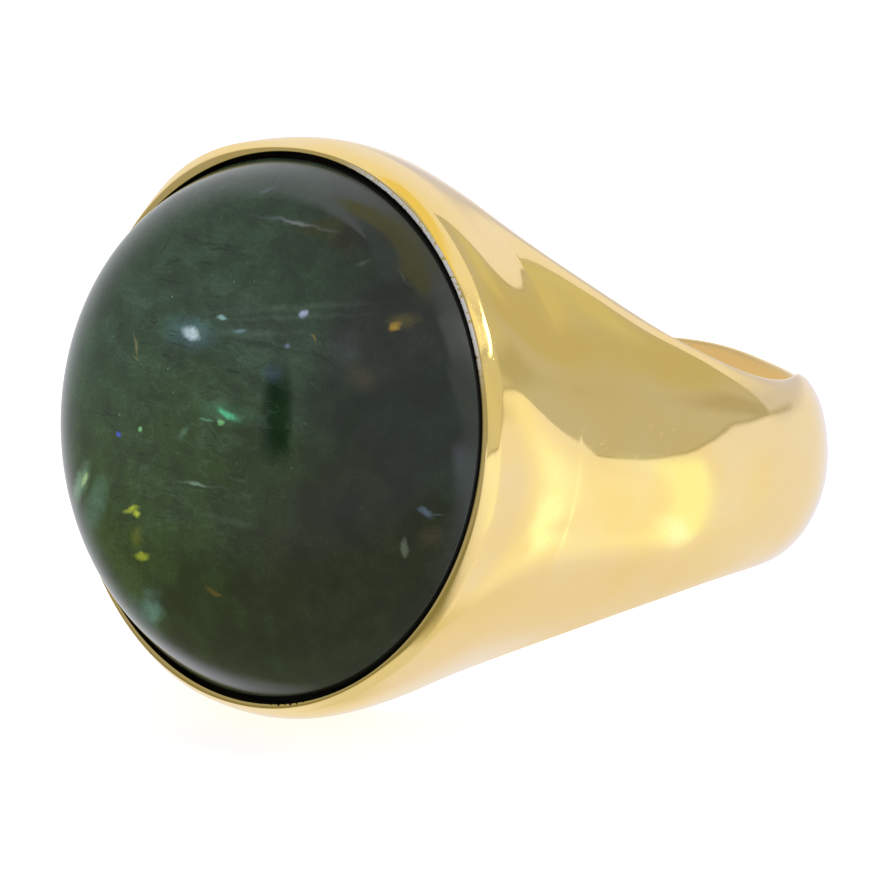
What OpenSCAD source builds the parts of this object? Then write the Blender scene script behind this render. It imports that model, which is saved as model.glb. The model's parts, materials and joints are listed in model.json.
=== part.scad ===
// A finger ring of polished gold with one round domed stone.
// Shank, shoulders, head and rim are one casting, and the stone sits in a round pocket in the head.
// The ring is shaped upright: finger axis along Z, head towards -Y, right shoulder along +X.
// It is then laid on its side as it rests, on the head's lower edge and the back of the shank.

/* [Finger] */
// Inner diameter, where the finger goes
bore_d = 19; // [17:0.1:20]
// Wall at the sides of the finger
wall_side = 1.45; // [1.1:0.05:1.8]
// Wall at the back of the finger
wall_back = 1.5; // [1.1:0.05:1.8]
// Width of the shank at the back, along the finger
back_w = 6.4; // [5:0.1:7]

/* [Head] */
// From the finger's axis to the plane of the rim
head_rise = 13.3; // [12.8:0.1:14.5]
// Diameter of the round opening that holds the stone
opening_d = 19.4; // [18:0.1:19.8]
// Flat width of the lip round the opening
lip_w = 0.2; // [0.1:0.05:0.35]
// Largest width of the head, along the finger
head_w = 20.7; // [20.6:0.1:21.5]
// Depth of the pocket below the rim
pocket_depth = 2.2; // [1.6:0.1:2.4]

/* [Stone] */
// Height of the dome above the stone's upright side
dome_h = 3.85; // [3:0.05:5]
// Depth below the rim at which the dome begins
dome_start = 0.4; // [0.2:0.05:0.8]
// Clearance between the stone and the gold, all round and below
stone_gap = 0.05; // [0.03:0.01:0.1]

/* [Smoothness] */
// Sides of one half section, from the upper edge over the outside to the lower edge
section_sides = 24; // [16:2:32]
// Steps along the loft between one row of a table and the next
loft_steps = 4; // [3:1:5]
// Bands of the dome, from its foot to its top
dome_bands = 14; // [10:1:20]

/* [Hidden] */

gold = [0.90, 0.71, 0.33];
green = [0.10, 0.22, 0.15];
round_fn = 96;

bore_r = bore_d / 2;
opening_r = opening_d / 2;
rim_r = opening_r + lip_w;
head_r = head_w / 2;
over = 1; // how far a cutting cylinder runs past the face that it opens

// The sections begin this far inside the bore, so that the bore is cut through their flat part
inset = 0.3;
inner_r = bore_r - inset;

// Sections of the head, from the rim inwards. Each is half an ellipse that stands on the middle line.
// Columns: depth below the rim on the middle line, depth on the outside, outside radius, half width
HEAD = [
    [0, 0, rim_r, rim_r],
    [0.45, 0.5, rim_r + 0.3, (rim_r + head_r) / 2],
    [1.5, 1.7, rim_r + 0.42, head_r],
];

// Sections of the shoulder and shank, half an ellipse each, from the head round to the back.
// Columns: angle from the head at the finger, angle on the outside, wall past the bore, half width
SHANK = [
    [0, 50.3, 4.16, head_r - 0.85],
    [25, 59.9, 2.87, 7.9],
    [50, 72.4, 1.75, 6.05],
    [75, 87.9, wall_side - 0.09, 4.65],
    [100, 102, wall_side, 3.62],
    [125, 126, wall_side, 3.37],
    [150, 151, wall_back, back_w / 2 + 0.03],
    [180, 180, wall_back, back_w / 2],
];

// Columns of a finished row: place of the section's foot, its outermost point, and its half width.
// The foot runs along the middle line of the head and then round the finger. Its place is the angle
// from the head, and short of the finger the remaining depth, as a negative angle on the same scale.
FOOT = 0;
OUT_X = 1;
OUT_Y = 2;
HALF_W = 3;

deg_per_mm = 180 / (PI * inner_r);

function head_row(r) = [
    (r[0] - head_rise + inner_r) * deg_per_mm,
    r[2],
    r[1] - head_rise,
    r[3],
];

function shank_row(r) = [
    r[0],
    (bore_r + r[2]) * sin(r[1]),
    -(bore_r + r[2]) * cos(r[1]),
    r[3],
];

function mirrored(r) = [360 - r[FOOT], -r[OUT_X], r[OUT_Y], r[HALF_W]];

function foot(place) = place < 0
    ? [0, place / deg_per_mm - inner_r]
    : [inner_r * sin(place), -inner_r * cos(place)];

ROWS = concat([for (r = HEAD) head_row(r)], [for (r = SHANK) shank_row(r)]);
last_row = len(ROWS) - 1;

// The rows with one more at each end, so that the curve through them has a direction there
RAIL = concat([2 * ROWS[0] - ROWS[1]], ROWS, [mirrored(ROWS[last_row - 1])]);

// Spacing of two rows along the curve, the root of the distance between their outermost points
function spacing(p, q) = sqrt(norm([q[OUT_X] - p[OUT_X], q[OUT_Y] - p[OUT_Y]]));

// The row at fraction t between rows b and c, on a smooth curve that also minds rows a and d
function between(a, b, c, d, t) =
    let (
        ab = spacing(a, b),
        bc = spacing(b, c),
        cd = spacing(c, d),
        leave = ((b - a) / ab - (c - a) / (ab + bc) + (c - b) / bc) * bc,
        reach = ((c - b) / bc - (d - b) / (bc + cd) + (d - c) / cd) * bc,
        t2 = t * t,
        t3 = t2 * t
    )
    (2 * t3 - 3 * t2 + 1) * b + (t3 - 2 * t2 + t) * leave
        + (3 * t2 - 2 * t3) * c + (t3 - t2) * reach;

LOFT = concat(
    [
        for (i = [0:last_row - 1], s = [0:loft_steps - 1])
            between(RAIL[i], RAIL[i + 1], RAIL[i + 2], RAIL[i + 3], s / loft_steps)
    ],
    [ROWS[last_row]]
);
sections = len(LOFT);
first_shank = len(HEAD) * loft_steps;

// The points of one section, from its upper end over the outside to its lower end
function section(r, side) =
    let (f = foot(r[FOOT]))
    [
        for (i = [0:section_sides])
            let (a = 90 - 180 * i / section_sides, reach = cos(a))
            [
                side * (f[0] + (r[OUT_X] - f[0]) * reach),
                f[1] + (r[OUT_Y] - f[1]) * reach,
                r[HALF_W] * sin(a),
            ]
    ];

SKIN = [for (side = [1, -1], r = LOFT) each section(r, side)];

// Number of a point: side 0 is the right one, k the section, i the place in the section
function at(side, k, i) = (side * sections + k) * (section_sides + 1) + i;

skin_faces = [
    for (k = [0:sections - 2], i = [0:section_sides - 1], half = [0, 1])
        each [
            half == 0
                ? [at(0, k, i), at(0, k + 1, i), at(0, k + 1, i + 1)]
                : [at(0, k, i), at(0, k + 1, i + 1), at(0, k, i + 1)],
            half == 0
                ? [at(1, k, i), at(1, k + 1, i + 1), at(1, k + 1, i)]
                : [at(1, k, i), at(1, k, i + 1), at(1, k + 1, i + 1)],
        ]
];

// The flat plane of the rim
rim_face = concat(
    [for (i = [0:section_sides]) at(0, 0, i)],
    [for (i = [section_sides - 1:-1:1]) at(1, 0, i)]
);

// Strips across the finger hole, above and below, which the bore later opens
end_i = section_sides;
strip_faces = [
    for (k = [first_shank:sections - 2])
        each k == first_shank
            ? [
                [at(0, k, 0), at(1, k + 1, 0), at(0, k + 1, 0)],
                [at(0, k, end_i), at(0, k + 1, end_i), at(1, k + 1, end_i)],
            ]
            : k == sections - 2
            ? [
                [at(1, k, 0), at(0, k + 1, 0), at(0, k, 0)],
                [at(1, k, end_i), at(0, k, end_i), at(0, k + 1, end_i)],
            ]
            : [
                [at(1, k, 0), at(1, k + 1, 0), at(0, k + 1, 0), at(0, k, 0)],
                [at(1, k, end_i), at(0, k, end_i), at(0, k + 1, end_i), at(1, k + 1, end_i)],
            ]
];

// The stone's profile: flat base, upright side and elliptical dome, as radius and height above the base
stone_r = opening_r - stone_gap;
side_h = pocket_depth - stone_gap - dome_start;
stone_h = side_h + dome_h;
stone_profile = concat(
    [[0, 0], [stone_r, 0]],
    [
        for (i = [0:dome_bands - 1])
            let (a = 90 * i / dome_bands)
            [stone_r * cos(a), side_h + dome_h * sin(a)]
    ],
    [[0, stone_h]]
);
base_y = -head_rise + pocket_depth - stone_gap;

// Resting on its side. The points that can touch the surface are those outside the bore.
function outside_bore(p) = norm([p[0], p[1]]) >= bore_r;
RIGHT_SKIN = [for (r = LOFT) each section(r, 1)];
head_points = [for (p = RIGHT_SKIN) if (p[1] < 0) p];
back_points = [for (p = RIGHT_SKIN) if (p[1] > 0 && outside_bore(p)) p];

// Height of a point, and its place along Y, with the ring turned back by t about X
function height(p, t) = p[2] * cos(t) - p[1] * sin(t);
function along(p, t) = p[1] * cos(t) + p[2] * sin(t);

// The turn at which the head and the back are equally low, found by halving the range n times
function lean(low, high, n) =
    let (
        t = (low + high) / 2,
        head_low = min([for (p = head_points) height(p, t)]),
        back_low = min([for (p = back_points) height(p, t)])
    )
    n == 0 ? t : head_low < back_low ? lean(t, high, n - 1) : lean(low, t, n - 1);

steepest = 45;
halvings = 16;
rest_tilt = lean(0, steepest, halvings);
lift = -min([for (p = RIGHT_SKIN) if (outside_bore(p)) height(p, rest_tilt)]);

// Furthest back is gold, and furthest forward is the dome
back_y = max([for (p = RIGHT_SKIN) along(p, rest_tilt)]);
front_y = min([for (q = stone_profile) along([0, base_y - q[1], -q[0]], rest_tilt)]);
centre_shift = -(back_y + front_y) / 2;

module laid() {
    translate([0, centre_shift, lift])
        rotate([-rest_tilt, 0, 0])
            children();
}

module pocket() {
    translate([0, -head_rise - over, 0])
        rotate([-90, 0, 0])
            cylinder(h = pocket_depth + over, r = opening_r, $fn = round_fn);
}

module band() {
    color(gold)
        laid()
            difference() {
                polyhedron(points = SKIN, faces = concat(skin_faces, [rim_face], strip_faces), convexity = 6);
                cylinder(h = head_w + 2 * over, r = bore_r, center = true, $fn = round_fn);
                pocket();
            }
}

module cabochon() {
    color(green)
        laid()
            translate([0, base_y, 0])
                rotate([90, 0, 0])
                    rotate_extrude($fn = round_fn)
                        polygon(stone_profile);
}

band();
cabochon();
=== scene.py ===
import json
from math import acos, atan2, cos, degrees, hypot, pi, radians, sin

import bmesh
import bpy
import numpy as np
from mathutils import Matrix, Vector

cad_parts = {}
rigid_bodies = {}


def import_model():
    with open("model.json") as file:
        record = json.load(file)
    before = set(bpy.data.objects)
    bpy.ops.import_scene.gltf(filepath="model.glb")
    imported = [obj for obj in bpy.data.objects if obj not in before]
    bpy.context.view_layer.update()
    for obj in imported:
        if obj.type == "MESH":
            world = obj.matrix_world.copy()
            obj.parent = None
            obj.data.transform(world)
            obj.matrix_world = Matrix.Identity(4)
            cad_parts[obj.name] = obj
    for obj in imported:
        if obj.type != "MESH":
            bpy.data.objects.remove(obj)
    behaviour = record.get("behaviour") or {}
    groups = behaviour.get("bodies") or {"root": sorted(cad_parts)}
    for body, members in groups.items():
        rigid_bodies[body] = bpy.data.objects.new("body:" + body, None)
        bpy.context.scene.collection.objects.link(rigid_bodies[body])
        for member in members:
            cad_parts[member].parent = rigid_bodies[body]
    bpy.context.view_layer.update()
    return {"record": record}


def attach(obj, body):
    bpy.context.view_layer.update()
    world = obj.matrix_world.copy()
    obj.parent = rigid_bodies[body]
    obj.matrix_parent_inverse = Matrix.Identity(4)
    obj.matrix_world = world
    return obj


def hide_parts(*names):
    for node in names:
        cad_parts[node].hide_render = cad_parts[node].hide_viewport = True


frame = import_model()
print("Frame loaded")

# The ring is modelled upright and in millimetres: finger axis along Z, head towards -Y.
# layDown brings it to metres and to the place where the CAD ring lies.
mount = frame["record"]["mounts"][0]
ringCentre = Vector(mount["pos_m"])
fingerAxis = Vector(mount["axis"])
restTilt = atan2(fingerAxis.y, fingerAxis.z)
layDown = Matrix.Translation(ringCentre) @ Matrix.Rotation(-restTilt, 4, "X") @ Matrix.Scale(0.001, 4)


# small helpers for modelling as by hand

def startPiece(name):
    # an empty mesh object in edit mode, the only one selected
    if bpy.context.object and bpy.context.object.mode != "OBJECT":
        bpy.ops.object.mode_set(mode="OBJECT")
    bpy.ops.object.select_all(action="DESELECT")
    bpy.ops.mesh.primitive_plane_add(size=1)
    piece = bpy.context.object
    piece.name = piece.data.name = name
    bpy.ops.object.mode_set(mode="EDIT")
    bpy.ops.mesh.select_all(action="SELECT")
    bpy.ops.mesh.delete(type="VERT")
    return piece


def selectEdges(piece, wanted):
    # selects the edges that pass the test, and nothing else
    bpy.ops.mesh.select_mode(type="EDGE")
    bpy.ops.mesh.select_all(action="DESELECT")
    shape = bmesh.from_edit_mesh(piece.data)
    for edge in shape.edges:
        if wanted(edge):
            edge.select_set(True)
    shape.select_flush_mode()
    bmesh.update_edit_mesh(piece.data)


def extrudeEdges(scale=(1, 1, 1), centre=(0, 0, 0), move=(0, 0, 0)):
    bpy.ops.mesh.extrude_edges_move()
    if scale != (1, 1, 1):
        bpy.ops.transform.resize(value=scale, center_override=centre)
    if move != (0, 0, 0):
        bpy.ops.transform.translate(value=move)


def closeInRings(count, shrinks):
    # fills a flat round opening with rings that shrink along the ways marked, and a point in the middle
    for k in range(count, 0, -1):
        extrudeEdges(tuple(k / (k + 1) if way else 1 for way in shrinks))
    bpy.ops.mesh.merge(type="COLLAPSE")


def applyModifier(piece, kind, **settings):
    modifier = piece.modifiers.new(kind.title(), kind)
    for key, value in settings.items():
        setattr(modifier, key, value)
    bpy.ops.object.modifier_apply(modifier=modifier.name)


def placePiece(piece, place):
    bpy.ops.object.mode_set(mode="OBJECT")
    piece.matrix_world = place
    bpy.ops.object.transform_apply(location=True, rotation=True, scale=True)


# the camera keeps the photograph's angle to the ring
camera = {
    "yaw": 40.732,            # degrees round the finger axis, from straight in front of the stone
    "pitch": 4.935,           # degrees above the plane across the finger
    "roll": 6.797,            # degrees, clockwise
    "distance": 0.4,          # metres from the middle of the finger hole
    "pixel": 0.000036,        # metres on the ring that one pixel covers
    "centreAt": (522.03, 432.42),   # pixel where the middle of the finger hole lands
    "image": 873,             # pixels across
    "sensor": 36,             # millimetres
    "clip": (0.01, 20),
}


def addCamera():
    yaw, pitch, roll = (radians(camera[k]) for k in ("yaw", "pitch", "roll"))
    turn = Matrix.Rotation(-restTilt, 3, "X")
    towards = Vector((sin(yaw) * cos(pitch), -cos(yaw) * cos(pitch), sin(pitch)))
    right = Vector((cos(yaw), sin(yaw), 0))
    up = towards.cross(right)
    right, up = cos(roll) * right + sin(roll) * up, cos(roll) * up - sin(roll) * right
    towards, right, up = turn @ towards, turn @ right, turn @ up
    half = camera["image"] / 2
    place = ringCentre + towards * camera["distance"]
    aim = ringCentre - right * (camera["centreAt"][0] - half) * camera["pixel"]
    aim = aim - up * (half - camera["centreAt"][1]) * camera["pixel"]
    back = (place - aim).normalized()
    right = up.cross(back).normalized()
    up = back.cross(right)
    bpy.ops.object.camera_add()
    cam = bpy.context.object
    cam.name = "Camera"
    cam.matrix_world = Matrix.Translation(place) @ Matrix((right, up, back)).transposed().to_4x4()
    cam.data.sensor_width = camera["sensor"]
    cam.data.lens = camera["distance"] / camera["pixel"] * camera["sensor"] / camera["image"]
    cam.data.clip_start, cam.data.clip_end = camera["clip"]
    bpy.context.scene.camera = cam


addCamera()
print("Camera placed")


# the band: shank, shoulders, head and rim in one
band = {
    "boreRadius": 9.5,
    "edgeRound": 0.16,        # how far the finger hole's edges are rounded
    "edgeSides": 4,           # sides of that rounding
    "wallCuts": 9,            # cuts across the wall of the finger hole
    "rimPlane": 13.3,         # from the finger axis to the rim
    "openingRadius": 9.7,
    "rimRadius": 9.86,
    "lipBevels": (0.04, 0.08, 0.1),   # inner edge of the lip, its outer edge, and the crease below it
    "lipDepth": 0.7,          # the crease lies within this depth of the rim
    "pocketDepth": 2.2,
    "arcSteps": 48,           # sides of a half section
    "headSteps": 14,          # sections before the finger hole begins
    "step": 0.125,            # spacing of the sections after that, in rows
}
closeBy = 0.01                # how close to its place an edge is looked for
flatAngle = 40                # faces that meet at less than this are shaded as one

# sections of the head and shoulder stand on the middle plane: y of the foot, outside x and y,
# half width, and how much fuller than an ellipse the lower and the upper half are
headRows = [
    (-12.8, 10.14, -12.75, 10.06, 0, 0),
    (-11.8, 10.48, -11.57, 10.27, -0.066, -0.091),
    (-9.67, 10.84, -9.299, 9.776, -0.111, -0.153),
    (-7.46, 11.06, -6.799, 8.842, -0.033, -0.042),
    (-4.04, 11.24, -3.615, 8.836, -0.07, -0.127),
]
# sections of the shank: x and y of the foot, angle outside, wall past the hole, half width, fullness
shankRows = [
    (0, -1.671, 87.19, 1.642, 8.492, -0.054, -0.124),
    (2.016, 0.7332, 107.5, 1.669, 6.521, -0.072, -0.134),
    (5.93, 4.151, 127.9, 1.523, 4.26, -0.053, 0.102),
    (4.587, 7.937, 153.2, 0.8198, 3.308, -0.052, 0.362),
    (0, 9.2, 180, 1.05, 3.219, -0.217, 0.232),
]
holeStart = band["boreRadius"] + band["edgeRound"]
# where the gold round the opening is a little thicker or thinner than the rows give: angle round
# the head from the right, reach each way in degrees, and by how much
handShaped = [(124, 30, 0.42), (247, 32, 0.16), (302, 28, -0.12), (68, 24, 0.1)]
handShapedDepth = 4           # below the rim, where it has faded out
# the same for the upper edge of the shank: angle from the head, reach, and by how much
edgeShaped = [(180, 34, 0.4), (137, 16, -0.15)]
# where the surface rolls over softly to the finger hole, above (1) or below (-1): angle from the head,
# reach, how much of the slope is taken off at the edge, and how far from the edge the roll goes
edgeRolls = [(-1, 100, 50, 0.6, 4), (1, 107.5, 52, 0.794, 3.22), (1, 46, 55, 0.546, 3.56)]


def railRows():
    # foot, outermost point and half width of each row, and the same again mirrored
    rows = [(0, *row) for row in headRows]
    for footX, footY, outside, wall, *form in shankRows:
        reach = band["boreRadius"] + wall
        angle = radians(outside)
        rows.append((footX, footY, reach * sin(angle), -reach * cos(angle), *form))
    rows += [(-footX, footY, -x, y, *form) for footX, footY, x, y, *form in rows[-2::-1]]
    return np.array(rows)


def smoothCurve(rows):
    # second derivatives of the curve with even bending through the rows
    gap = np.sqrt(np.hypot(*(np.diff(rows[:, 2:4], axis=0).T)))
    slope = np.diff(rows, axis=0) / gap[:, None]
    count = len(rows)
    system = np.eye(count)
    right = np.zeros_like(rows)
    for i in range(1, count - 1):
        system[i, i - 1:i + 2] = gap[i - 1], 2 * (gap[i - 1] + gap[i]), gap[i]
        right[i] = 6 * (slope[i] - slope[i - 1])
    return gap, np.linalg.solve(system, right)


def rowAt(rows, curve, i, t):
    # the row at share t of the way from row i to the next
    gap, bend = curve
    s = 1 - t
    return (s * rows[i] + t * rows[i + 1]
            + ((s ** 3 - s) * bend[i] + (t ** 3 - t) * bend[i + 1]) * gap[i] ** 2 / 6)


def swell(across, full):
    # how far a half ellipse is pushed out, by its share of the way across
    return 1 + full * across ** 2 * (1 - across ** 2)


def cutShare(foot, out, radius, full):
    # share of the way from the foot to the outside at which the section leaves the finger hole
    if foot.length > radius - 0.001:
        return 0
    low, high = 0, 1
    for _ in range(40):
        share = (low + high) / 2
        if (foot + (out - foot) * share * swell(share, full)).length < radius:
            low = share
        else:
            high = share
    return share


def addSection(row):
    # one half section: a point spun round the foot, then stretched to the half width and swollen
    foot = Vector((row[0] if abs(row[0]) > 0.002 else 0, row[1], 0))
    out = Vector((row[2], row[3], 0))
    reach = (out - foot).length
    outward = (out - foot) / reach
    below, above = (acos(cutShare(foot, out, holeStart, full)) for full in row[5:7])
    start = foot + outward * reach * cos(above) + Vector((0, 0, reach * sin(above)))
    bpy.ops.mesh.select_all(action="DESELECT")
    bpy.ops.mesh.primitive_circle_add(vertices=3, radius=0.001, location=start)
    bpy.ops.mesh.merge(type="CENTER")
    axis = outward.cross(Vector((0, 0, 1)))
    bpy.ops.mesh.spin(steps=band["arcSteps"], angle=below + above, center=foot, axis=axis)
    bpy.ops.mesh.select_linked()
    shape = bmesh.from_edit_mesh(bpy.context.object.data)
    for vert in shape.verts:
        if vert.select:
            across = (vert.co - foot).dot(outward) / reach
            vert.co = foot + (vert.co - foot) * swell(across, row[6] if vert.co.z > 0 else row[5])
    bmesh.update_edit_mesh(bpy.context.object.data)
    bpy.ops.transform.resize(value=(1, 1, row[4] / reach), center_override=foot)


def sectionRows():
    # sections at even steps, and crowded together just past where they begin to meet the hole
    rows = railRows()
    curve = smoothCurve(rows)

    def rowOf(position):
        i = min(int(position), len(rows) - 2)
        return rowAt(rows, curve, i, position - i)

    low, high = 1, 3          # the rows between which a foot reaches the hole, found by halving
    for _ in range(30):
        touch = (low + high) / 2
        if hypot(*rowOf(touch)[:2]) > holeStart:
            low = touch
        else:
            high = touch
    positions = [touch * step / band["headSteps"] for step in range(band["headSteps"])]
    position, count, last = touch, 0, (len(rows) - 1) // 2
    while position < last - band["step"] / 2:
        positions.append(position)
        count += 1
        position += min(0.02 * count - 0.01, band["step"])
    return [rowOf(position) for position in positions + [last]]


def bump(angle, centre, reach):
    # 1 at the centre, and falls softly to 0 at the reach
    away = abs((angle - centre + 180) % 360 - 180)
    return cos(pi / 2 * away / reach) ** 2 if away < reach else 0


def shapeByHand(piece):
    shape = bmesh.from_edit_mesh(piece.data)
    for vert in shape.verts:
        depth = vert.co.y + band["rimPlane"]
        outside = hypot(vert.co.x, vert.co.z) - band["openingRadius"] - 0.08
        if 0 <= depth < handShapedDepth and outside > 0:
            around = degrees(atan2(vert.co.z, vert.co.x))
            rise = sum(by * bump(around, angle, reach) for angle, reach, by in handShaped)
            rise *= min(outside / 0.25, 1) * cos(pi / 2 * depth / handShapedDepth) ** 2
            vert.co += Vector((vert.co.x, 0, vert.co.z)).normalized() * rise
        turned = degrees(atan2(abs(vert.co.x), -vert.co.y))
        if vert.co.y > 0 and vert.co.z > 0:
            rise = sum(by * bump(turned, angle, reach) for angle, reach, by in edgeShaped)
            vert.co.z += rise * min(vert.co.z / 3, 1)
        away = hypot(vert.co.x, vert.co.y) - holeStart
        for side, centre, reach, slope, width in edgeRolls:
            if 0 < away < width and side * vert.co.z > 0:
                lift = slope * bump(turned, centre, reach) * away * (1 - away / width) ** 3
                vert.co.z += side * lift * min(abs(vert.co.z) / 2, 1)
    bmesh.update_edit_mesh(piece.data)


def makeBand():
    piece = startPiece("ringBody")
    found = sectionRows()
    for row in found:
        addSection(row)
    bpy.ops.mesh.select_mode(type="EDGE")
    steps = band["arcSteps"]
    for k in range(len(found) - 1):
        bpy.ops.mesh.select_all(action="DESELECT")
        shape = bmesh.from_edit_mesh(piece.data)
        shape.edges.ensure_lookup_table()
        for edge in shape.edges[k * steps:(k + 2) * steps]:
            edge.select_set(True)
        bmesh.update_edit_mesh(piece.data)
        bpy.ops.mesh.bridge_edge_loops()
    bpy.ops.object.mode_set(mode="OBJECT")
    applyModifier(piece, "MIRROR", merge_threshold=0.002)
    bpy.ops.object.mode_set(mode="EDIT")

    # rounded edges of the finger hole, and its wall
    for side in (1, -1):
        selectEdges(piece, lambda e: e.is_boundary and all(
            abs(hypot(v.co.x, v.co.y) - holeStart) < closeBy and v.co.z * side > 0 for v in e.verts))
        radius, drop = holeStart, 0
        for k in range(1, band["edgeSides"] + 1):
            angle = pi / 2 * k / band["edgeSides"]
            nextRadius = holeStart - band["edgeRound"] * sin(angle)
            nextDrop = band["edgeRound"] * (1 - cos(angle))
            scale = nextRadius / radius
            extrudeEdges((scale, scale, 1), move=(0, 0, -side * (nextDrop - drop)))
            radius, drop = nextRadius, nextDrop
    selectEdges(piece, lambda e: e.is_boundary and all(
        abs(hypot(v.co.x, v.co.y) - band["boreRadius"]) < closeBy for v in e.verts))
    bpy.ops.mesh.bridge_edge_loops(number_cuts=band["wallCuts"], interpolation="LINEAR")

    # lip, from the crease up to the rim and in to the opening, then the pocket and its floor
    crease, rim = headRows[0], band["rimRadius"]
    rimCentre = (0, -band["rimPlane"], 0)
    selectEdges(piece, lambda e: e.is_boundary)
    extrudeEdges((rim / crease[1], 0, rim / crease[3]), rimCentre)
    inwards = band["openingRadius"] / rim
    extrudeEdges((inwards, 1, inwards), rimCentre)
    extrudeEdges(move=(0, band["pocketDepth"], 0))
    closeInRings(4, (True, False, True))

    def onRim(radius):
        return lambda e: all(abs(hypot(v.co.x, v.co.z) - radius) < closeBy
                             and abs(v.co.y + band["rimPlane"]) < closeBy for v in e.verts)

    def onCrease(e):
        return all(abs(hypot(v.co.x / crease[1], v.co.z / crease[3]) - 1) < 0.001
                   and v.co.y < band["lipDepth"] - band["rimPlane"] for v in e.verts)

    for wanted, offset in zip((onRim(band["openingRadius"]), onRim(rim), onCrease), band["lipBevels"]):
        selectEdges(piece, wanted)
        bpy.ops.mesh.bevel(offset=offset, segments=3, affect="EDGES")

    bpy.ops.mesh.select_all(action="SELECT")
    bpy.ops.mesh.remove_doubles(threshold=0.0005)
    bpy.ops.mesh.normals_make_consistent(inside=False)
    shapeByHand(piece)
    bpy.ops.object.mode_set(mode="OBJECT")
    applyModifier(piece, "SUBSURF", levels=1, render_levels=1)
    bpy.ops.object.shade_smooth_by_angle(angle=radians(flatAngle))
    placePiece(piece, layDown)
    return piece


ringBody = makeBand()
print("Band modelled:", len(ringBody.data.polygons), "faces")


# the stone: a full dome, a narrow groove round its foot, and a wider base in the pocket
stone = {
    "radius": 9.65,           # of the base, which fills the pocket
    "edge": (9.62, 9.42),     # half width and half height of the dome's edge
    "coreRadius": 9.38,       # of the ball shape that the top follows
    "height": 3.9,
    "start": 0.05,            # below the rim, where the ball shape would begin
    "flare": 8.72,            # outside this radius the dome falls away less steeply than the ball
    "flareSlope": (1.07, 0.58),
    "ledge": 0.95,            # below the rim, where the base narrows to the dome
    "ledgeDrop": 0.05,        # how far the ledge slopes down to the base
    "depth": 2.15,            # of the flat base, below the rim
    "skirt": (1.002, 0.03),   # the dome's edge turns down: how much wider it gets, and how far down
    "baseBevel": 0.05,
    "fullness": 1.08,         # 1 is a half ellipse, more is fuller
    "lean": (-0.085, 0.1),    # how far the dome leans to the left and up towards its top
    "segments": 160,
    "rings": 84,
}


def domeRise(radius):
    # height of the dome above the rim, at this distance from its middle
    full = stone["fullness"]
    within = min(radius, stone["flare"])
    rise = stone["height"] * (1 - (within / stone["coreRadius"]) ** (2 * full)) ** (0.5 / full)
    past = radius - within
    first, second = stone["flareSlope"]
    return rise - past * (first + second * past) - stone["start"]


def makeStone():
    bpy.ops.object.select_all(action="DESELECT")
    bpy.ops.mesh.primitive_uv_sphere_add(segments=stone["segments"], ring_count=stone["rings"])
    piece = bpy.context.object
    piece.name = piece.data.name = "domedStone"
    bpy.ops.object.mode_set(mode="EDIT")
    bpy.ops.mesh.select_all(action="SELECT")
    bpy.ops.mesh.bisect(plane_co=(0, 0, 0), plane_no=(0, 0, 1), clear_inner=True, threshold=0.0001)
    # the ball's rings are moved to the dome's profile
    wide, high = stone["edge"]
    shape = bmesh.from_edit_mesh(piece.data)
    for vert in shape.verts:
        vert.co.z = domeRise(min(hypot(vert.co.x, vert.co.y), 1) * wide)
        vert.co.x = vert.co.x * wide + stone["lean"][0] * vert.co.z
        vert.co.y = vert.co.y * high + stone["lean"][1] * vert.co.z
    bmesh.update_edit_mesh(piece.data)
    # from the dome's edge down to the ledge, out over it, down again, and across the base
    wider, down = stone["skirt"]
    spreadX, spreadY = (stone["radius"] / half / wider for half in (wide, high))
    selectEdges(piece, lambda e: e.is_boundary)
    extrudeEdges((wider, wider, 1), move=(0, 0, -down))
    extrudeEdges(move=(0, 0, down - domeRise(wide)))
    extrudeEdges(move=(0, 0, -stone["ledge"]))
    extrudeEdges((spreadX, spreadY, 1), move=(0, 0, -stone["ledgeDrop"]))
    extrudeEdges(move=(0, 0, stone["ledge"] + stone["ledgeDrop"] - stone["depth"]))
    closeInRings(3, (True, True, False))
    selectEdges(piece, lambda e: all(hypot(v.co.x, v.co.y) > stone["radius"] - 0.1
                                     and v.co.z < 0.02 - stone["depth"] for v in e.verts))
    bpy.ops.mesh.bevel(offset=stone["baseBevel"], segments=2, affect="EDGES")
    bpy.ops.mesh.select_all(action="SELECT")
    bpy.ops.mesh.normals_make_consistent(inside=False)
    bpy.ops.object.mode_set(mode="OBJECT")
    bpy.ops.object.shade_smooth_by_angle(angle=radians(flatAngle))
    placePiece(piece, stonePlace)
    return piece


# in the stone's own frame X is across, Y up and Z out of the rim's plane
stonePlace = layDown @ Matrix.Translation((0, -band["rimPlane"], 0)) @ Matrix.Rotation(pi / 2, 4, "X")
domedStone = makeStone()
print("Stone modelled:", len(domedStone.data.polygons), "faces")


# the materials are node patterns, laid in millimetres on the pieces, with painted light, shade and glints
# among their colours

def nodeTools(tree):
    # two short ways of adding nodes to a node tree
    nodes, links = tree.nodes, tree.links

    def put(socket, value):
        if isinstance(value, bpy.types.NodeSocket):
            links.new(value, socket)
        else:
            socket.default_value = value

    def add(kind, inputs, output=0, **settings):
        node = nodes.new("ShaderNode" + kind)
        for key, value in settings.items():
            setattr(node, key, value)
        for key, value in inputs.items():
            put(node.inputs[key], value)
        return node.outputs[output]

    def math(operation, *values, **settings):
        return add("Math", dict(enumerate(values)), operation=operation, **settings)

    return add, math


def newMaterial(name, **sockets):
    material = bpy.data.materials.new(name)
    material.use_nodes = True
    shader = material.node_tree.nodes["Principled BSDF"]
    for key, value in sockets.items():
        shader.inputs[key].default_value = value
    return material, shader


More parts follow.
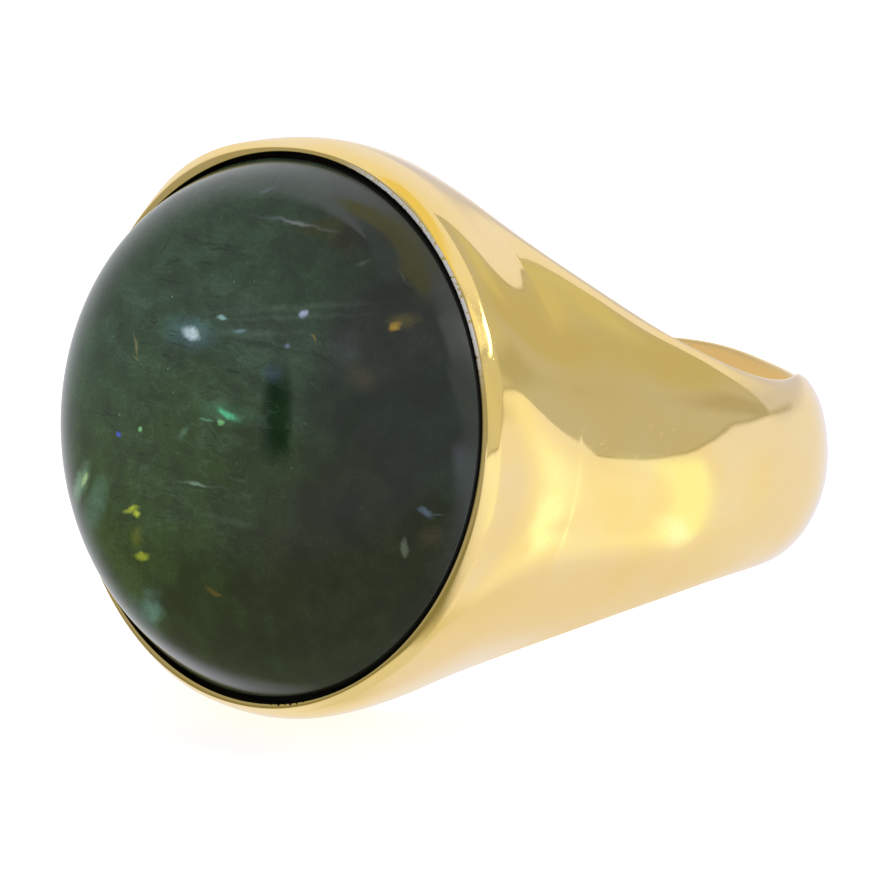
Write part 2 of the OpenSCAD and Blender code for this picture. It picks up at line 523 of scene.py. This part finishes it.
def ownPlace(add, place):
    # a point's place in millimetres in the frame that the piece was modelled in
    return add("Mapping", {"Vector": add("TexCoord", {}, "Object"), "Location": place.to_translation(),
                           "Rotation": place.to_euler(), "Scale": place.to_scale()}, vector_type="TEXTURE")


def ramp(add, value, low, high, toLow=0.0, toHigh=1.0):
    # a soft step from one value to another between low and high
    return add("MapRange", {"Value": value, "From Min": low, "From Max": high,
                            "To Min": toLow, "To Max": toHigh}, interpolation_type="SMOOTHSTEP")


def blend(add, amount, first, second):
    return add("Mix", {0: amount, 6: first, 7: second}, 2, data_type="RGBA")


def rippled(add, spot, scale, reach):
    # the same place pushed about by a soft noise
    noise = add("TexNoise", {"Vector": spot, "Scale": scale, "Detail": 2.0}, "Color")
    push = add("VectorMath", {0: noise, 1: (0.5, 0.5, 0.5)}, operation="SUBTRACT")
    return add("VectorMath", {0: push, 1: (reach, reach, reach), 2: spot}, operation="MULTIPLY_ADD")


def patch(add, spot, centre, half, turn, soft, most=1.0):
    # an amount inside an oval of the front plane and 0 outside, with a soft edge
    oval = add("Mapping", {"Vector": spot, "Location": (*centre, 0), "Rotation": (0, 0, radians(turn)),
                           "Scale": (*half, 1000)}, vector_type="TEXTURE")
    reach = add("VectorMath", {0: oval}, "Value", operation="LENGTH")
    return ramp(add, reach, 1 + soft, max(1 - soft, 0), 0.0, most)


stoneLook = {
    "deep": (0.012, 0.022, 0.012),       # darkest body colour, at the right, where the stone is painted darker as shade
    "side": (0.003, 0.004, 0.002),       # upright side and base, painted near black as shade where the stone sits in the gold
    "sideBelow": (0.06, 0.11),           # height above the rim where the side ends and the dome begins
    "greenPart": ((-1.2, 2), (5, 6.5), 0, 0.5),      # middle, half sizes, turn and softness
    "wisp": (0.1, (0.2, 0.34, 0.26)),    # amount and colour
    "needle": (0.7, (0.01, 0.028, 0.012)),
    "needleTurn": -14,                   # degrees
    # painted glints: the part where most of them are, and their amount and colour
    "paintedGlintPart": ((-0.6, 1.8), (3.6, 3), 0, 0.7),
    "paintedGlint": (0.8, (0.35, 0.65, 0.6)),
    "paintedGlintsElsewhere": 0.06,              # how many painted glints there are outside their part
    "cloudScale": 0.9,                   # mottling, features a millimetre
    "cloud": (0.72, 1.3),                # darkest and lightest of the mottling
    "grain": (0.88, 1.12),
    "gloss": (0.02, 0.05),
    "dullSide": 0.6,                     # how much duller the upright side is
    "dullFoot": (1.1, 0.2),              # height of the duller foot of the dome, and how much duller it is
}

# colours inside the stone, inclusions and painted light together: the left part painted lighter and the
# right darker, glowing streaks painted low on the left, and small bright spots that are inclusions and
# painted glints. Place across and up from its middle, half sizes, turn in degrees, softness of the edge,
# how much the outline is rippled (0 none, 1 finely, 2 broadly), colour, amount
stoneZones = [
    (-3.6, 3, 6, 9, -12, 0.5, 2, (0.03, 0.082, 0.034), 0.95),
    (0.6, 3.4, 4.4, 5.4, 10, 0.6, 2, (0.038, 0.08, 0.04), 0.6),
    (-1.4, -3.2, 6, 4.6, 12, 0.5, 2, (0.032, 0.066, 0.01), 0.75),
    (2.6, -0.9, 3.4, 1.5, 0, 0.6, 2, (0.02, 0.05, 0.003), 0.6),
    (2, 3.9, 3, 0.8, -10, 0.7, 2, (0.06, 0.1, 0.07), 0.4),
    (1.2, -7, 4.6, 2.4, 10, 0.6, 2, (0.014, 0.028, 0.01), 0.6),
    (5.5, -3.6, 3.6, 3.6, 0, 0.6, 2, (0.018, 0.022, 0.013), 0.6),
    (6, 4, 1.6, 1.4, 0, 0.7, 2, (0.03, 0.034, 0.03), 0.6),
    (3.3, 0.9, 0.68, 1.7, 2, 0.25, 1, (0.009, 0.03, 0.007), 0.88),
    (1.85, 7.47, 1.57, 0.066, -1, 0.7, 1, (0.14, 0.18, 0.18), 0.6),
    (2.52, 7.42, 0.88, 0.043, -3, 0.7, 1, (0.34, 0.38, 0.37), 0.7),
    (-0.07, 8.79, 0.46, 0.048, -51, 0.7, 1, (0.01, 0.016, 0.014), 0.7),
    (0.08, 8.37, 0.23, 0.069, 28, 0.7, 1, (0.12, 0.17, 0.19), 0.6),
    (-1.08, 3.13, 0.98, 0.451, -2, 0.9, 1, (0.1, 0.22, 0.24), 0.7),
    (-1.04, 3.14, 0.38, 0.178, -8, 0.6, 1, (0.72, 0.92, 1), 0.9),
    (0.26, 3.82, 0.22, 0.069, 13, 0.6, 1, (0.45, 0.8, 0.8), 0.8),
    (3.57, 4.5, 0.16, 0.121, -6, 0.6, 1, (0.5, 0.6, 0.85), 0.8),
    (1.17, 3.52, 0.26, 0.051, 9, 0.7, 1, (0.3, 0.5, 0.6), 0.7),
    (3.29, 3.33, 0.1, 0.071, 1, 0.7, 1, (0.3, 0.35, 0.6), 0.7),
    (4.19, 3.71, 0.15, 0.043, -50, 0.6, 1, (0.3, 0.25, 0.05), 0.7),
    (2.87, 2.29, 0.37, 0.274, 3, 0.8, 1, (0.06, 0.11, 0.15), 0.6),
    (1.14, 0.67, 1.08, 0.28, -1, 0.9, 1, (0.07, 0.2, 0.1), 0.6),
    (1.24, 0.61, 0.39, 0.111, -14, 0.6, 1, (0.12, 0.75, 0.38), 0.8),
    (0.92, 0.32, 0.14, 0.101, 8, 0.6, 1, (0.3, 0.75, 0.3), 0.8),
    (0.27, 0.26, 0.28, 0.052, 0, 0.7, 1, (0.15, 0.4, 0.25), 0.6),
    (-4.01, -0.86, 0.13, 0.077, 10, 0.5, 1, (0.08, 0.15, 0.95), 0.85),
    (-2.89, -0.59, 0.11, 0.088, 6, 0.5, 1, (0.3, 0.8, 0.35), 0.85),
    (-0.65, -0.3, 0.2, 0.106, 52, 0.8, 1, (0.14, 0.3, 0.16), 0.6),
    (-3.19, -3.43, 0.39, 0.086, 15, 0.6, 1, (0.5, 0.6, 0.04), 0.75),
    (-2.91, -3.53, 0.16, 0.072, 12, 0.6, 1, (0.6, 0.7, 0.06), 0.7),
    (-2.68, -4.98, 0.33, 0.112, 6, 0.6, 1, (0.42, 0.5, 0.03), 0.7),
    (-2.89, -4.31, 0.34, 0.262, 62, 0.8, 1, (0.12, 0.14, 0.01), 0.6),
    (0.82, -5.72, 0.3, 0.088, -20, 0.7, 1, (0.18, 0.11, 0.02), 0.5),
    (-6.41, -2.99, 0.83, 0.318, 52, 0.7, 1, (0.3, 0.55, 0.35), 0.55),
    (-6.09, -2.8, 0.31, 0.12, 54, 0.5, 1, (0.55, 0.8, 0.35), 0.7),
    (-5.37, -3.58, 0.97, 0.44, 53, 0.8, 1, (0.14, 0.3, 0.2), 0.6),
    (-2.61, -6.96, 0.58, 0.28, 18, 0.8, 1, (0.13, 0.27, 0.2), 0.7),
    (-3.19, -6.63, 0.84, 0.505, -15, 0.9, 2, (0.09, 0.17, 0.13), 0.7),
    (-3.7, 2.34, 0.38, 0.056, -57, 0.5, 1, (0.26, 0.24, 0.1), 0.65),
    (-3.53, 1.9, 0.2, 0.038, -18, 0.5, 1, (0.2, 0.2, 0.08), 0.5),
    (-1, 6.26, 1.17, 0.051, 3, 0.7, 1, (0.006, 0.022, 0.008), 0.75),
    (-0.6, 6.14, 0.65, 0.056, 7, 0.7, 1, (0.006, 0.022, 0.008), 0.75),
    (-2.35, 6.33, 0.77, 0.04, -5, 0.7, 1, (0.006, 0.022, 0.008), 0.7),
    (-2.85, 5.41, 0.37, 0.056, 24, 0.7, 1, (0.006, 0.022, 0.008), 0.7),
    (-5.23, -0.29, 1, 0.031, 6, 0.6, 1, (0.008, 0.022, 0.01), 0.75),
    (-4.38, -0.66, 0.25, 0.037, -18, 0.6, 1, (0.008, 0.022, 0.01), 0.7),
    (-3.51, 5.89, 0.4, 0.074, 72, 0.7, 1, (0.01, 0.03, 0.012), 0.6),
    (2.62, 4.54, 2.42, 0.106, 11, 0.9, 1, (0.1, 0.16, 0.11), 0.35),
    (2.31, 4.14, 2.57, 0.07, 10, 0.9, 1, (0.1, 0.16, 0.12), 0.4),
    (1.62, 3.52, 2.17, 0.108, 8, 0.9, 1, (0.1, 0.17, 0.13), 0.4),
    (2.23, 3.18, 1.29, 0.1, -1, 0.8, 1, (0.012, 0.028, 0.02), 0.6),
    (4.83, 3.03, 0.83, 0.067, -19, 0.8, 1, (0.012, 0.022, 0.014), 0.5),
    (5.42, 3.65, 0.49, 0.413, -62, 0.9, 1, (0.06, 0.075, 0.075), 0.6),
    (6.26, 2.62, 0.49, 0.266, -32, 0.9, 1, (0.06, 0.05, 0.025), 0.55),
    (6.15, 0.96, 0.97, 0.174, 77, 0.6, 1, (0.004, 0.022, 0.006), 0.7),
    (6.82, 4.49, 0.16, 0.109, 51, 0.6, 1, (0.6, 0.36, 0.04), 0.8),
    (7, 4.73, 0.36, 0.214, 17, 0.8, 1, (0.13, 0.11, 0.03), 0.6),
    (6.4, 6.16, 0.32, 0.033, -36, 0.7, 1, (0.1, 0.13, 0.11), 0.5),
    (4.97, 6.5, 0.19, 0.057, 27, 0.7, 1, (0.1, 0.13, 0.11), 0.5),
    (3.22, 7.02, 1.01, 0.484, 2, 0.6, 2, (0.045, 0.05, 0.006), 0.7),
    (4.06, 7.15, 0.48, 0.283, -46, 0.8, 1, (0.03, 0.022, 0.004), 0.6),
    (8.61, -1.73, 0.15, 0.085, -44, 0.7, 1, (0.12, 0.18, 0.24), 0.75),
    (8.86, -1.73, 0.15, 0.034, 10, 0.7, 1, (0.1, 0.13, 0.16), 0.6),
    (8.01, -3.05, 0.29, 0.088, 82, 0.7, 1, (0.14, 0.18, 0.13), 0.6),
    (8.68, -2.49, 0.36, 0.211, 76, 0.9, 1, (0.06, 0.05, 0.03), 0.5),
    (0.25, -2, 1.02, 0.052, 2, 0.8, 1, (0.12, 0.2, 0.11), 0.5),
    (0.06, -1.99, 0.37, 0.074, -1, 0.7, 1, (0.25, 0.38, 0.28), 0.6),
    (1.45, -3.08, 1.04, 0.111, -2, 0.9, 1, (0.07, 0.12, 0.07), 0.5),
    (-1.73, -1.66, 1.59, 0.035, -1, 0.7, 1, (0.012, 0.03, 0.008), 0.5),
]


def stoneMaterial():
    material, shader = newMaterial("darkGreenStone", IOR=1.64)
    add, math = nodeTools(material.node_tree)
    spot = ownPlace(add, stonePlace)
    spots = (spot, rippled(add, spot, 1.6, 0.35), rippled(add, spot, 0.35, 3.2))
    # the darkest body colour, painted as shade on the right, with the zones and their painted light laid
    # over it
    colour = (*stoneLook["deep"], 1)
    for across, up, halfAcross, halfUp, turn, soft, ripple, tint, amount in stoneZones:
        inside = patch(add, spots[ripple], (across, up), (halfAcross, halfUp), turn, soft, amount)
        colour = blend(add, inside, colour, (*tint, 1))

    def noise(at, scale, detail, **more):
        return add("TexNoise", {"Vector": at, "Scale": scale, "Detail": detail, **more}, "Fac")

    def tinted(mask, look):
        amount, tint = stoneLook[look]
        return blend(add, math("MULTIPLY", mask, amount), colour, (*tint, 1))

    # pale wisps and dark needles where the stone is green
    greenPart = patch(add, spots[2], *stoneLook["greenPart"])
    drawn = add("VectorMath", {0: spots[1], 1: (0.45, 1.3, 0.5)}, operation="MULTIPLY")
    wisp = math("ABSOLUTE", math("SUBTRACT", noise(drawn, 1.0, 4.0, Distortion=0.6), 0.5))
    colour = tinted(math("MULTIPLY", ramp(add, wisp, 0.03, 0.0), greenPart), "wisp")
    slanted = add("Mapping", {"Vector": spot, "Rotation": (0, 0, radians(stoneLook["needleTurn"])),
                              "Scale": (0.8, 7, 1)}, vector_type="POINT")
    needle = ramp(add, noise(slanted, 1.0, 1.5), 0.66, 0.74)
    colour = tinted(math("MULTIPLY", needle, greenPart), "needle")

    # small painted glints, most of them in the middle of the green
    paintedGlintPart = math("ADD", patch(add, spots[2], *stoneLook["paintedGlintPart"]), stoneLook["paintedGlintsElsewhere"])
    cells = {"Vector": spots[1], "Scale": 2.2}
    paintedGlint = ramp(add, add("TexVoronoi", cells, "Distance"), 0.12, 0.04)
    lucky = ramp(add, add("SeparateColor", {0: add("TexVoronoi", cells, "Color")}, 0), 0.72, 0.9)
    colour = tinted(math("MULTIPLY", math("MULTIPLY", paintedGlint, lucky), paintedGlintPart), "paintedGlint")

    # mottling and grain
    cloud = noise(spots[1], stoneLook["cloudScale"], 6.0, Roughness=0.6)
    cloud = ramp(add, cloud, 0.3, 0.7, *stoneLook["cloud"])
    grain = ramp(add, noise(spot, 9.0, 2.0), 0.3, 0.7, *stoneLook["grain"])
    colour = add("VectorMath", {0: colour, "Scale": math("MULTIPLY", cloud, grain)}, operation="SCALE")

    # the side below the dome is painted dark as shade, where the stone sits in the gold, and the dome's
    # foot is duller
    rise = add("SeparateXYZ", {0: spot}, "Z")
    onDome = ramp(add, rise, *stoneLook["sideBelow"])
    colour = blend(add, onDome, (*stoneLook["side"], 1), colour)
    gloss = ramp(add, noise(spot, 0.8, 5.0), 0.35, 0.7, *stoneLook["gloss"])
    gloss = math("ADD", gloss, math("MULTIPLY", math("SUBTRACT", 1.0, onDome), stoneLook["dullSide"]))
    foot, (footHeight, duller) = stoneLook["sideBelow"][1], stoneLook["dullFoot"]
    gloss = math("ADD", gloss, ramp(add, rise, foot + footHeight, foot, 0, duller))
    material.node_tree.links.new(colour, shader.inputs["Base Color"])
    material.node_tree.links.new(gloss, shader.inputs["Roughness"])
    return material


goldLook = {
    "colour": (1.0, 0.745, 0.26),
    "paler": (1.0, 0.77, 0.32),
    "gloss": (0.035, 0.075),
    "wave": (0.22, 0.012),               # features a millimetre, and height in millimetres
    "ripple": (1.6, 0.0007),
    "scratch": 0.0011,                   # depth in millimetres
    "scratchScale": (0.35, 13, 13),      # drawn out along the first way
    "scratchTurns": [(0.4, 0.2, 0.5), (1.2, 0.8, 2.1), (2.2, 1.5, 1.2), (0.1, 1.1, 0.3)],
    "dust": 0.006,                       # height in millimetres
    "dull": 0.1,                         # how much duller scratches and dust are
    "satin": (0.95, 0.75, 0.38),         # colour inside the finger hole, which is satin, not polished
    "satinDull": 0.35,
    "edgeGlint": ((6.1, 6.9), (4.8, 1.8), -43, 0.3),      # where the lip's inner edge is painted pale with glints
    "edgeGlintColour": (1, 0.98, 0.96),
    "satinAndGlintLessMetal": 0.8,                   # how much less metallic the satin and the painted glints look
    "nick": (0.02, 0.012, 0.005),        # colour
    "nickDepth": 0.02,
}
# nicks in the gold: place in the ring's frame, in millimetres, and size
nicks = [
    (1.4, -13.27, -9.6, 0.05), (1.75, -13.27, -9.56, 0.08), (2.05, -13.27, -9.5, 0.05),
    (2.3, -13.27, -9.45, 0.08), (2.6, -13.27, -9.38, 0.06), (2.9, -13.27, -9.28, 0.04),
    (-6.2, -13.25, 7.6, 0.06), (-4.6, -13.25, -8.75, 0.06),
]


def goldMaterial():
    material, shader = newMaterial("polishedGold")
    add, math = nodeTools(material.node_tree)
    spot = ownPlace(add, layDown)

    def noise(scale, detail=2.0, at=spot):
        return add("TexNoise", {"Vector": at, "Scale": scale, "Detail": detail}, "Fac")

    def paint(mask, first, tint):
        return blend(add, mask, first, (*tint, 1))

    # hairline scratches that run several ways, more of them in some places
    scratches = 0.0
    for turn in goldLook["scratchTurns"]:
        way = add("Mapping", {"Vector": spot, "Rotation": turn, "Scale": goldLook["scratchScale"]},
                  vector_type="POINT")
        scratches = math("MAXIMUM", scratches, ramp(add, noise(1.0, 1.0, way), 0.7, 0.78))
    worn = ramp(add, noise(0.35, 3.0), 0.4, 0.65)
    scratches = math("MULTIPLY", scratches, math("ADD", math("MULTIPLY", worn, 0.8), 0.2))

    # dust specks
    cells = {"Vector": spot, "Scale": 1.9}
    speck = ramp(add, add("TexVoronoi", cells, "Distance"), 0.055, 0.02)
    lucky = ramp(add, add("SeparateColor", {0: add("TexVoronoi", cells, "Color")}, 0), 0.55, 0.6)
    speck = math("MULTIPLY", speck, lucky)

    nick = 0.0
    for x, y, z, size in nicks:
        away = add("VectorMath", {0: spot, 1: (x, y, z)}, "Value", operation="DISTANCE")
        nick = math("MAXIMUM", nick, ramp(add, away, size, size * 0.6))

    # satin inside the finger hole
    flat = add("VectorMath", {0: spot, 1: (1, 1, 0)}, operation="MULTIPLY")
    satin = ramp(add, add("VectorMath", {0: flat}, "Value", operation="LENGTH"), 9.62, 9.51)

    # painted glints on the lip's inner edge: pale and less metallic for a stretch, broken into dots
    fromFront = add("VectorMath", {0: spot, 1: (1, 0, 1)}, operation="MULTIPLY")
    reach = add("VectorMath", {0: fromFront}, "Value", operation="LENGTH")
    turned = add("Mapping", {"Vector": spot, "Rotation": (-pi / 2, 0, 0)}, vector_type="POINT")
    edgeGlint = ramp(add, add("SeparateXYZ", {0: spot}, "Y"), -13.12, -13.18)
    for mask in (ramp(add, reach, 9.88, 9.83), patch(add, turned, *goldLook["edgeGlint"]),
                 ramp(add, noise(6.0, 3.0), 0.34, 0.46)):
        edgeGlint = math("MULTIPLY", edgeGlint, mask)

    colour = paint(ramp(add, noise(0.3, 4.0), 0.35, 0.7), (*goldLook["colour"], 1), goldLook["paler"])
    colour = paint(math("MULTIPLY", nick, 0.95), colour, goldLook["nick"])
    colour = paint(satin, colour, goldLook["satin"])
    # painted glints, pale, on the lip's inner edge
    colour = paint(edgeGlint, colour, goldLook["edgeGlintColour"])
    gloss = ramp(add, noise(0.7, 5.0), 0.35, 0.7, *goldLook["gloss"])
    gloss = math("ADD", gloss, math("MULTIPLY", math("ADD", scratches, speck), goldLook["dull"]))
    gloss = math("ADD", gloss, math("MULTIPLY", satin, goldLook["satinDull"]))
    # the satin and the painted glints are less metallic
    metal = math("SUBTRACT", 1.0, math("MULTIPLY", math("ADD", satin, edgeGlint), goldLook["satinAndGlintLessMetal"]))

    height = 0.0
    for scale, rise in (goldLook["wave"], goldLook["ripple"]):
        height = math("ADD", height, math("MULTIPLY", noise(scale), rise))
    height = math("SUBTRACT", height, math("MULTIPLY", scratches, goldLook["scratch"]))
    height = math("ADD", height, math("MULTIPLY", speck, goldLook["dust"]))
    height = math("SUBTRACT", height, math("MULTIPLY", nick, goldLook["nickDepth"]))
    relief = add("Bump", {"Height": height, "Strength": 1.0, "Distance": 0.001})
    for name, value in (("Base Color", colour), ("Metallic", metal),
                        ("Roughness", gloss), ("Normal", relief)):
        material.node_tree.links.new(value, shader.inputs[name])
    return material


ringBody.data.materials.append(goldMaterial())
domedStone.data.materials.append(stoneMaterial())
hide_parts("band")
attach(ringBody, "root")
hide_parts("cabochon")
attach(domedStone, "root")
print("Finishes made")


# stage and light
floorLook = {"radius": 1.5, "white": 0.85, "glow": 0.75, "roughness": 0.9}

bpy.ops.object.select_all(action="DESELECT")
bpy.ops.mesh.primitive_circle_add(vertices=96, radius=floorLook["radius"], fill_type="NGON")
floor = bpy.context.object
floor.name = "floor"
paper, paperShader = newMaterial("whitePaper", Roughness=floorLook["roughness"])
paperShader.inputs["Base Color"].default_value = (floorLook["white"],) * 3 + (1,)
paperShader.inputs["Emission Color"].default_value = (1, 1, 1, 1)
paperShader.inputs["Emission Strength"].default_value = floorLook["glow"]
floor.data.materials.append(paper)
floor.visible_glossy = False

# The studio round the ring, seen only as light and in reflections: a dim room in front, a white
# backdrop behind and a white table on the right, with a grey screen standing on it, and lamps.
# Each area: degrees round from the front of the ring and degrees up, half width, half height,
# softness of the upright and of the level edges, lean, and colour.
studio = {
    "room": (0.37, 0.37, 0.36),
    "behind": [
        (187, 0, 79, 100, 16, 1, 0, (0.88, 0.87, 0.93)),        # backdrop behind
        (130, -40, 59, 47, 3, 3, 0, (0.9, 0.9, 1.08)),          # table on the right
        (0, -90, 181, 30, 1, 8, 0, (0.74, 0.73, 0.7)),          # under the ring
        (-6, -46, 76, 38, 10, 10, 0, (0.25, 0.24, 0.15)),       # table in front
        (88, -12, 8, 14, 4, 3, 0, (1, 1.06, 1.12)),             # lit parts of the table
        (119, -8, 6, 22, 5, 7, 0, (0.99, 1, 1)),
        (127, -34, 10, 20, 6, 8, 0, (0.98, 0.99, 1.04)),
        (104, -32, 5, 24, 4, 6, 0, (0.87, 0.88, 1.18)),         # shade on the table
        (180, -28, 34, 27, 8, 4, 0, (0.85, 0.86, 1.1)),         # its far part
        (199, -20, 14, 7, 12, 8, 0, (0.86, 0.9, 1.2)),
        (175, -64, 42, 12, 10, 6, 0, (0.83, 0.81, 0.95)),
        (190, 22, 30, 12, 6, 6, 0, (0.88, 0.88, 1.08)),         # cloth behind the screen
        (188, 3.5, 28, 5, 5, 3.5, 0, (0.66, 0.67, 0.92)),       # its shaded foot
        (168, 1.2, 9, 1, 6, 1.2, 0, (0.5, 0.5, 0.5)),           # edge of the table
        (120, 84, 95, 15, 20, 4, 0, (0.5, 0.52, 0.5)),          # ceiling
        (160, 66, 62, 7, 12, 3, 0, (0.85, 0.75, 0.36)),         # warm screen above
    ],
    "broad": 4,               # the first areas, which are all that rough faces are lit by
    # lower edge of the grey screen, as degrees round and up
    "skyline": [
        (80, 1), (90, 3), (96, 5.5), (102, 8.5), (108, 11), (112, 12.5), (118, 13.3), (121, 13.1),
        (124, 11.8), (126.3, 9.5), (127.6, 5), (127.9, -9), (129.5, -10.5), (134, -9), (140, -7.5),
        (145, -5.5), (150, -2.2), (155, -0.8), (160, 0.5), (165, 5.5), (170, 9.5), (173, 12),
        (178, 15.5), (181, 17.5), (184, 38),
    ],
    "skylineSoft": 0.7,
    "screenTop": 33,
    "screenTopSoft": 3,
    "screenSideSoft": 0.5,
    "screenGrey": (0.55, 0.555, 0.59),
    "screenEdge": (0.43, 0.41, 0.38),
    # dark line along the lower edge: height above it, half width, that of its core, and amounts there
    "edgeLine": (0.6, 1.0, 0.1, 0.0, 0.7),
    "screenAreas": [
        (110, 18, 13, 14, 6, 3, 0, (0.66, 0.66, 0.64)),         # its near end
        (90, 16, 8, 16, 8, 4, 0, (0.7, 0.69, 0.62)),
        (131, 17, 10, 4.5, 6, 2.5, 0, (0.48, 0.48, 0.45)),      # shade across it
        (130, 26, 14, 4, 8, 3, 0, (0.6, 0.6, 0.56)),            # its upper edge
        (164, 18, 13, 8, 5, 4, 0, (0.55, 0.53, 0.43)),          # far end, warmer
        (172, 23, 9, 4, 5, 2.5, 0, (0.63, 0.62, 0.47)),
        (158, 4, 6, 5, 4, 3, -1, (0.47, 0.45, 0.42)),           # shade at its far foot
    ],
    "lamps": [
        (115, 36.5, 10, 4.8, 1.5, 1, 1, (4, 4, 3.9)),           # lamp above the screen
        (100, 43, 9, 8, 3, 2, 0.6, (1, 0.98, 0.9)),             # glow beside it
        (119.5, -20, 1.5, 15, 4, 9, 0, (1.08, 1.22, 1.2)),      # tall lamp on the table
        (119.5, -31, 1, 6, 3, 6, -0.2, (1.2, 1.4, 1.45)),
        (124, -41, 1.2, 5, 2.5, 5, -0.8, (1.2, 1.38, 1.4)),     # its foot
        (136.5, -28, 5, 17, 2.2, 4, -0.1, (1.04, 1.2, 1.12)),   # second tall lamp
        (137, -41, 2.4, 5, 3, 4, -0.6, (1.25, 1.36, 1.65)),
        (-25.4, 14, 3.2, 5.5, 1.8, 2.5, -0.3, (0.05, 0.07, 0.08)),   # gap in the room, in front
    ],
}


def studioWorld():
    world = bpy.context.scene.world or bpy.data.worlds.new("Studio")
    bpy.context.scene.world = world
    world.use_nodes = True
    add, math = nodeTools(world.node_tree)
    direction = add("TexCoord", {}, "Generated")

    def along(vector):
        return add("VectorMath", {0: direction, 1: vector}, "Value", operation="DOT_PRODUCT")

    def inside(offset, half, soft):
        return ramp(add, math("ABSOLUTE", offset), half + soft, max(half - soft, 0))

    def colourOf(name):
        return (*studio[name], 1)

    height = math("DEGREES", math("ARCSINE", along((0, 0, 1))))
    wayRound = math("DEGREES", math("ARCTAN2", along((1, 0, 0)), along((0, -1, 0))))

    def turnFrom(around):
        return math("WRAP", math("SUBTRACT", wayRound, around), 180, -180)

    def painted(light, areas):
        for around, up, halfWidth, halfHeight, softWidth, softHeight, lean, colour in areas:
            level = math("SUBTRACT", height, up)
            offset = math("SUBTRACT", turnFrom(around), math("MULTIPLY", level, lean))
            across, upright = inside(offset, halfWidth, softWidth), inside(level, halfHeight, softHeight)
            mask = math("MULTIPLY", across, upright)
            light = blend(add, mask, light, (*colour, 1))
        return light

    # height of the screen's lower edge all along it, from a curve with both its sides between 0 and 1
    skyline = studio["skyline"]
    first, last = skyline[0][0], skyline[-1][0]
    middle = (first + last) / 2
    curve = world.node_tree.nodes.new("ShaderNodeFloatCurve")
    points = curve.mapping.curves[0].points
    places = [((around - first) / (last - first), up / 90 + 0.5) for around, up in skyline]
    points[0].location, points[-1].location = places[0], places[-1]
    for place in places[1:-1]:
        points.new(*place)
    for point in points:
        point.handle_type = "VECTOR"
    curve.mapping.update()
    way = math("ADD", math("DIVIDE", turnFrom(middle), last - first), 0.5)
    world.node_tree.links.new(way, curve.inputs["Value"])
    low = math("MULTIPLY", math("SUBTRACT", curve.outputs[0], 0.5), 90)
    overEdge = math("SUBTRACT", height, low)

    above = ramp(add, overEdge, -studio["skylineSoft"], studio["skylineSoft"])
    below = ramp(add, height, studio["screenTop"] + studio["screenTopSoft"], studio["screenTop"])
    beside = inside(turnFrom(middle), (last - first) / 2, studio["screenSideSoft"])
    screen = math("MULTIPLY", math("MULTIPLY", above, below), beside)
    lineHeight, *lineForm = studio["edgeLine"]
    line = ramp(add, math("ABSOLUTE", math("SUBTRACT", overEdge, lineHeight)), *lineForm)
    grey = blend(add, line, painted(colourOf("screenGrey"), studio["screenAreas"]), colourOf("screenEdge"))
    light = blend(add, screen, painted(colourOf("room"), studio["behind"]), grey)
    light = painted(light, studio["lamps"])

    # only polished faces see all of it; what lights the rest is the same studio without its details
    broad = painted(colourOf("room"), studio["behind"][:studio["broad"]])
    seen, lit = (add("Background", {"Color": colour}) for colour in (light, broad))
    polished = add("LightPath", {}, "Is Glossy Ray")
    both = add("MixShader", {0: polished, 1: lit, 2: seen})
    world.node_tree.links.new(both, world.node_tree.nodes["World Output"].inputs["Surface"])
    world.cycles.sampling_method = "NONE"


studioWorld()
bpy.context.scene.view_settings.view_transform = "Standard"
print("Stage and light set")
